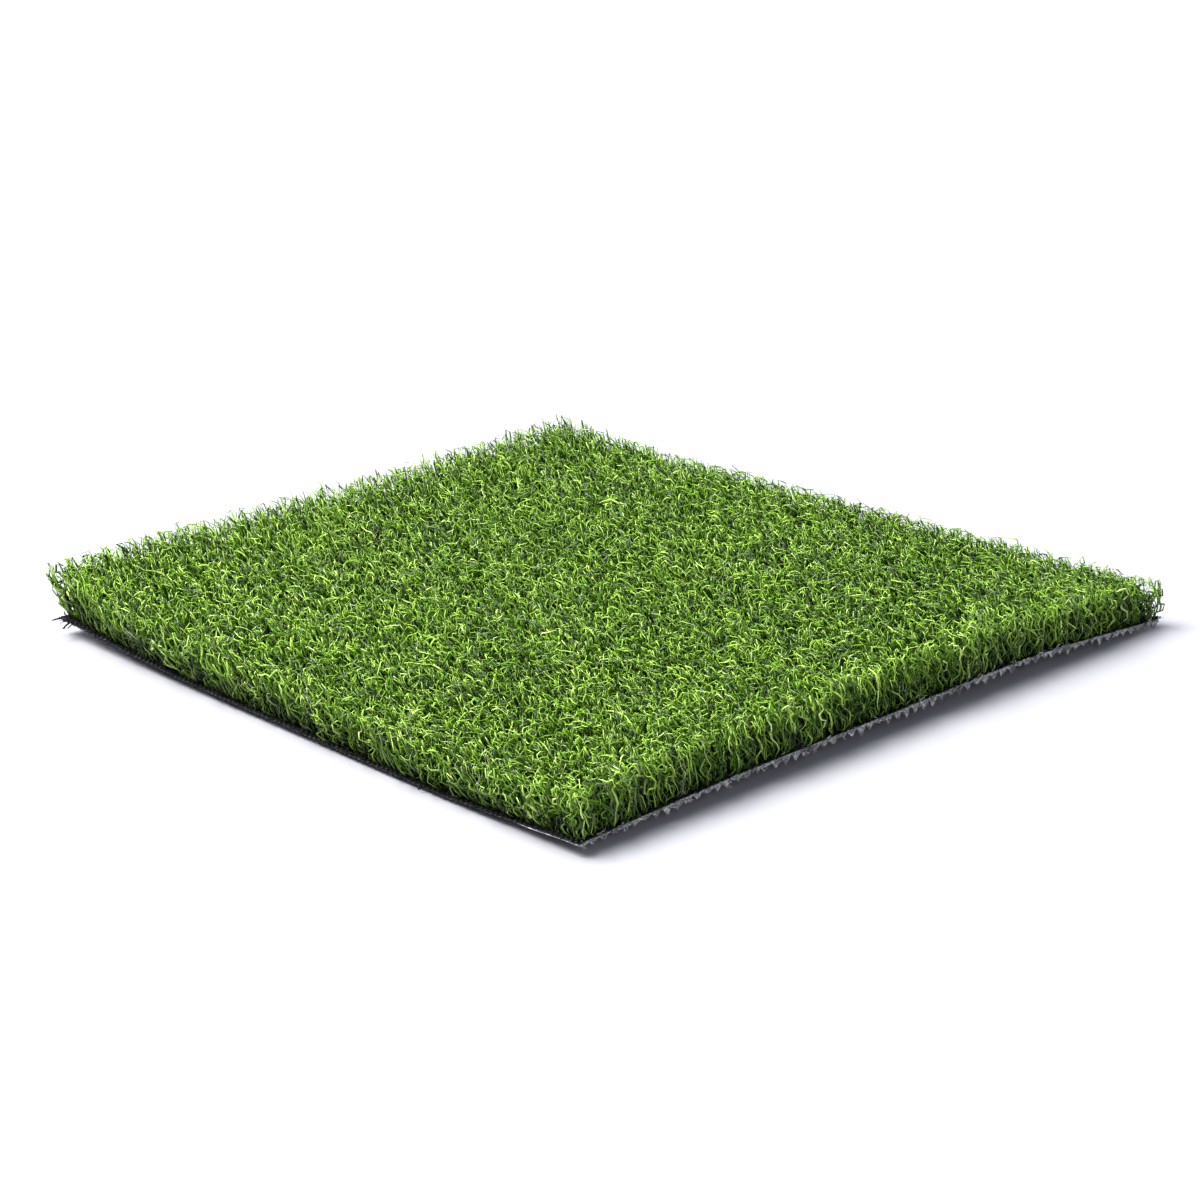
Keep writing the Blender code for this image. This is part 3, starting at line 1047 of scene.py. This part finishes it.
def makeFray(k):
    rng = np.random.default_rng(k["seed"])
    starts, ways, lengths = [], [], []

    def add(x, y, way, length):
        starts.append((x, y, (lie["backingLow"] + lie["backingHigh"]) / 2))
        ways.append(way)
        lengths.append(length * mm)

    for sides, count, slope, length in k["cuts"]:
        for axis, sign in [s for _ in range(count) for s in sides]:
            place, edge = rng.uniform(-half, half), sign * (half - k["inset"])
            aside, up = rng.normal(0, k["aside"]), rng.normal(*slope)
            spot = (edge, place) if axis == 0 else (place, edge)
            way = (sign, aside, up) if axis == 0 else (aside, sign, up)
            add(*spot, way, rng.uniform(*length))
    count, inward, slopes, length = k["rightTip"]
    for _ in range(count):
        spot = [half - rng.uniform(0, reach) * mm for reach in inward]
        add(*spot, [rng.normal(*slope) for slope in slopes], rng.uniform(*length))
    count, inward, (aside, out, up), length = k["leftTip"]
    for _ in range(count):
        x = -half + rng.uniform(0, inward) * mm
        way = (rng.normal(*aside), out, rng.normal(*up))
        add(x, -half + k["inset"], way, rng.uniform(*length))
    n, points = len(starts), k["points"]
    t = (np.arange(points - 1) / (points - 2))[None, :, None]
    curl = rng.normal(0, k["curl"], (n, 3))[:, None, :]
    kinks = rng.normal(0, k["kink"], (n, points - 1, 3))
    steps = unit(unit(np.array(ways))[:, None, :] + curl * t + kinks)
    path = walk(starts, steps, lengths)
    path[..., 2] = np.maximum(path[..., 2], k["lowestFlat"])
    path = layDown(path)
    path[..., 2] = np.maximum(path[..., 2], k["lowest"])
    width = k["width"] * rng.uniform(*k["widthSpread"], n)[:, None]
    thick = np.full((n, 1), k["thickness"])
    return threadPiece(k, "frayed_tapes", path, width, thick, rng, tape)


frayPiece = makeFray(fray)
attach(frayPiece, "root")
report(f"frayed ends made, {len(frayPiece.data.polygons)} faces")

torn = {
    "seed": 31,
    "points": 8,
    "width": 0.62 * mm,
    "widthSpread": (0.45, 1.3),
    "thickness": 0.30 * mm,
    "thicknessSpread": (0.6, 1.4),
    "spin": 6.28,  # any way round, in radians
    "twist": 3.0,
    "stubs": 5,  # hanging from each cut row
    "stubSpread": 0.75,  # across the row, in mm
    "stubStart": 1.1 * mm,
    "stubLength": (1.1, 2.4),  # in mm, times the row's own size
    "rowSize": (0.5, 1.25),
    "stubCurl": 0.9,
    "stubInset": (0.0, 1.0),  # from the cut, in mm
    "stubOut": (0.0, 0.5),
    "stubFan": 0.45,  # apart from each other, by where they start
    "stubStray": 0.35,
    "threads": 230,  # running along the cut
    "threadStart": (0.9, 1.7),  # in mm above the ridge crests
    "threadLength": (1.5, 5.0),  # in mm
    "threadCurl": 0.55,
    "threadOutset": (-0.5, 0.2),  # from the cut, in mm
    "threadOut": (-0.1, 0.25),
    "threadSlope": (-0.1, 0.35),
    "swing": (0.5, 1.0, 1.0),  # how freely they swing along each axis
    "endZone": 3 * mm,
    "waves": (0.8, 1.8),
    "kink": 0.15,
    "lowest": 0.25 * mm,
}


def makeTorn(k):
    # rubber-dipped stitch ends where the cut crosses the rows
    rng = np.random.default_rng(k["seed"])
    starts, ways, lengths, curls = [], [], [], []
    for face in (1, -1):
        for row in range(lie["rows"]):
            y = firstRow + row * gauge
            big = rng.uniform(*k["rowSize"])
            for _ in range(k["stubs"]):
                off = rng.normal(0, k["stubSpread"]) * mm
                x = face * (half - rng.uniform(*k["stubInset"]) * mm)
                starts.append((x, y + off, k["stubStart"]))
                out = face * rng.uniform(*k["stubOut"])
                aside = -off / mm * k["stubFan"] + rng.normal(0, k["stubStray"])
                ways.append((out, aside, -1.0))
                lengths.append(big * rng.uniform(*k["stubLength"]) * mm)
                curls.append(k["stubCurl"])
        for _ in range(k["threads"]):
            x = face * (half + rng.uniform(*k["threadOutset"]) * mm)
            y = rng.uniform(-half + k["endZone"], half - k["endZone"])
            starts.append((x, y, rng.uniform(*k["threadStart"]) * mm))
            out = face * rng.uniform(*k["threadOut"])
            ways.append((out, rng.choice([-1.0, 1.0]), rng.normal(*k["threadSlope"])))
            lengths.append(rng.uniform(*k["threadLength"]) * mm)
            curls.append(k["threadCurl"])
    n, points = len(starts), k["points"]
    t = (np.arange(points - 1) / (points - 2))[None, :, None]
    phase = rng.uniform(0, 2 * math.pi, (n, 1, 3))
    waves = rng.uniform(*k["waves"], (n, 1, 1))
    swing = np.array(curls)[:, None, None] * np.sin(2 * math.pi * waves * t + phase)
    kinks = rng.normal(0, k["kink"], (n, points - 1, 3))
    way = unit(np.array(ways))[:, None, :]
    steps = unit(way + swing * np.array(k["swing"]) + kinks)
    path = layDown(walk(starts, steps, lengths))
    path[..., 2] = np.maximum(path[..., 2], k["lowest"])
    path[..., :2] = np.clip(path[..., :2], -pile["reach"], pile["reach"])
    width = k["width"] * rng.uniform(*k["widthSpread"], n)[:, None]
    thick = k["thickness"] * rng.uniform(*k["thicknessSpread"], n)[:, None]
    return threadPiece(k, "torn_stitch_ends", path, width, thick, rng, latex)


tornPiece = makeTorn(torn)
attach(tornPiece, "root")
report(f"torn stitch ends made, {len(tornPiece.data.polygons)} faces")

report("sheets declared")

studio = {
    "floorSize": 24.0,
    "floorHeight": -0.1 * mm,
    "floorNear": (0.430, 0.432, 0.465),
    "floorFar": (0.78, 0.78, 0.82),
    "roughness": 0.28,
    "nearReach": 0.26,
    "farReach": 0.90,
    "sweepFrom": 2.0,  # from here out the floor runs into the pale wall without a line
    "sweepTo": 5.0,
    "sweepGlow": 0.9,
    "wallStrength": 1.25,  # pale walls round the horizon
    "wallTop": 0.13,
    "skyColour": (0.70, 0.76, 1.0),
    "skyStrength": 0.26,  # dimmer overhead
    "skyFrom": 0.24,
    # name, place, what it points at, size, power, colour
    "lights": (
        ("key", (-1.4, -2.1, 3.8), (0, 0, 0), 2.7, 400.0, (1.0, 0.985, 0.95)),
        ("top", (-0.5, -0.5, 4.6), (0, 0, 0), 3.2, 160.0, (1.0, 1.0, 1.0)),
        ("fill", (2.3, -1.3, 1.1), (0.1, 0, 0), 1.4, 20.0, (1.0, 1.0, 1.0)),
    ),
}


def makeFloor(k):
    f = Finish("studio_floor")
    at = f.node("ShaderNodeTexCoord")["Object"]
    distance = f.node("ShaderNodeVectorMath", {"operation": "LENGTH"}, {0: at})["Value"]
    away = ((distance - k["nearReach"]) / (k["farReach"] - k["nearReach"])).held()
    f.feed(Base_Color=f.mix(away, k["floorNear"], k["floorFar"]), Roughness=k["roughness"])
    sweep = ((distance - k["sweepFrom"]) / (k["sweepTo"] - k["sweepFrom"])).held()
    glow = f.mix(sweep, (0.0, 0.0, 0.0), (1.0, 1.0, 1.0))
    f.feed(Emission_Color=glow, Emission_Strength=k["sweepGlow"])
    s, z = k["floorSize"] / 2, k["floorHeight"]
    verts = [(-s, -s, z), (s, -s, z), (s, s, z), (-s, s, z)]
    floor = meshObject("studio_floor", verts, [0, 1, 2, 3], [4], f.material, smooth=False)


def makeLight(name, place, target, size, power, colour):
    data = bpy.data.lights.new(name, "AREA")
    data.shape = "RECTANGLE"
    data.size, data.size_y = size, size
    data.energy = power
    data.color = colour
    lamp = bpy.data.objects.new(name, data)
    lamp.location = place
    away = Vector(place) - Vector(target)
    lamp.rotation_mode = "QUATERNION"
    lamp.rotation_quaternion = away.to_track_quat("Z", "Y")
    bpy.context.scene.collection.objects.link(lamp)


def makeWorld(k):
    world = bpy.data.worlds.new("studio")
    world.use_nodes = True
    tree = world.node_tree
    at = tree.nodes.new("ShaderNodeTexCoord")
    parts = tree.nodes.new("ShaderNodeSeparateXYZ")
    ramp = tree.nodes.new("ShaderNodeValToRGB")
    tree.links.new(at.outputs["Generated"], parts.inputs["Vector"])
    tree.links.new(parts.outputs["Z"], ramp.inputs["Fac"])
    wall = [k["wallStrength"]] * 3
    sky = [c * k["skyStrength"] for c in k["skyColour"]]
    low, high = ramp.color_ramp.elements
    low.position, low.color = k["wallTop"], (*wall, 1)
    high.position, high.color = k["skyFrom"], (*sky, 1)
    tree.links.new(ramp.outputs["Color"], tree.nodes["Background"].inputs["Color"])
    bpy.context.scene.world = world


makeFloor(studio)
makeWorld(studio)
for light in studio["lights"]:
    makeLight(*light)
scene = bpy.context.scene
scene.view_settings.view_transform = "Standard"
scene.view_settings.look = "Medium High Contrast"
report("floor and light made")

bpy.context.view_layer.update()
report("sizes written")
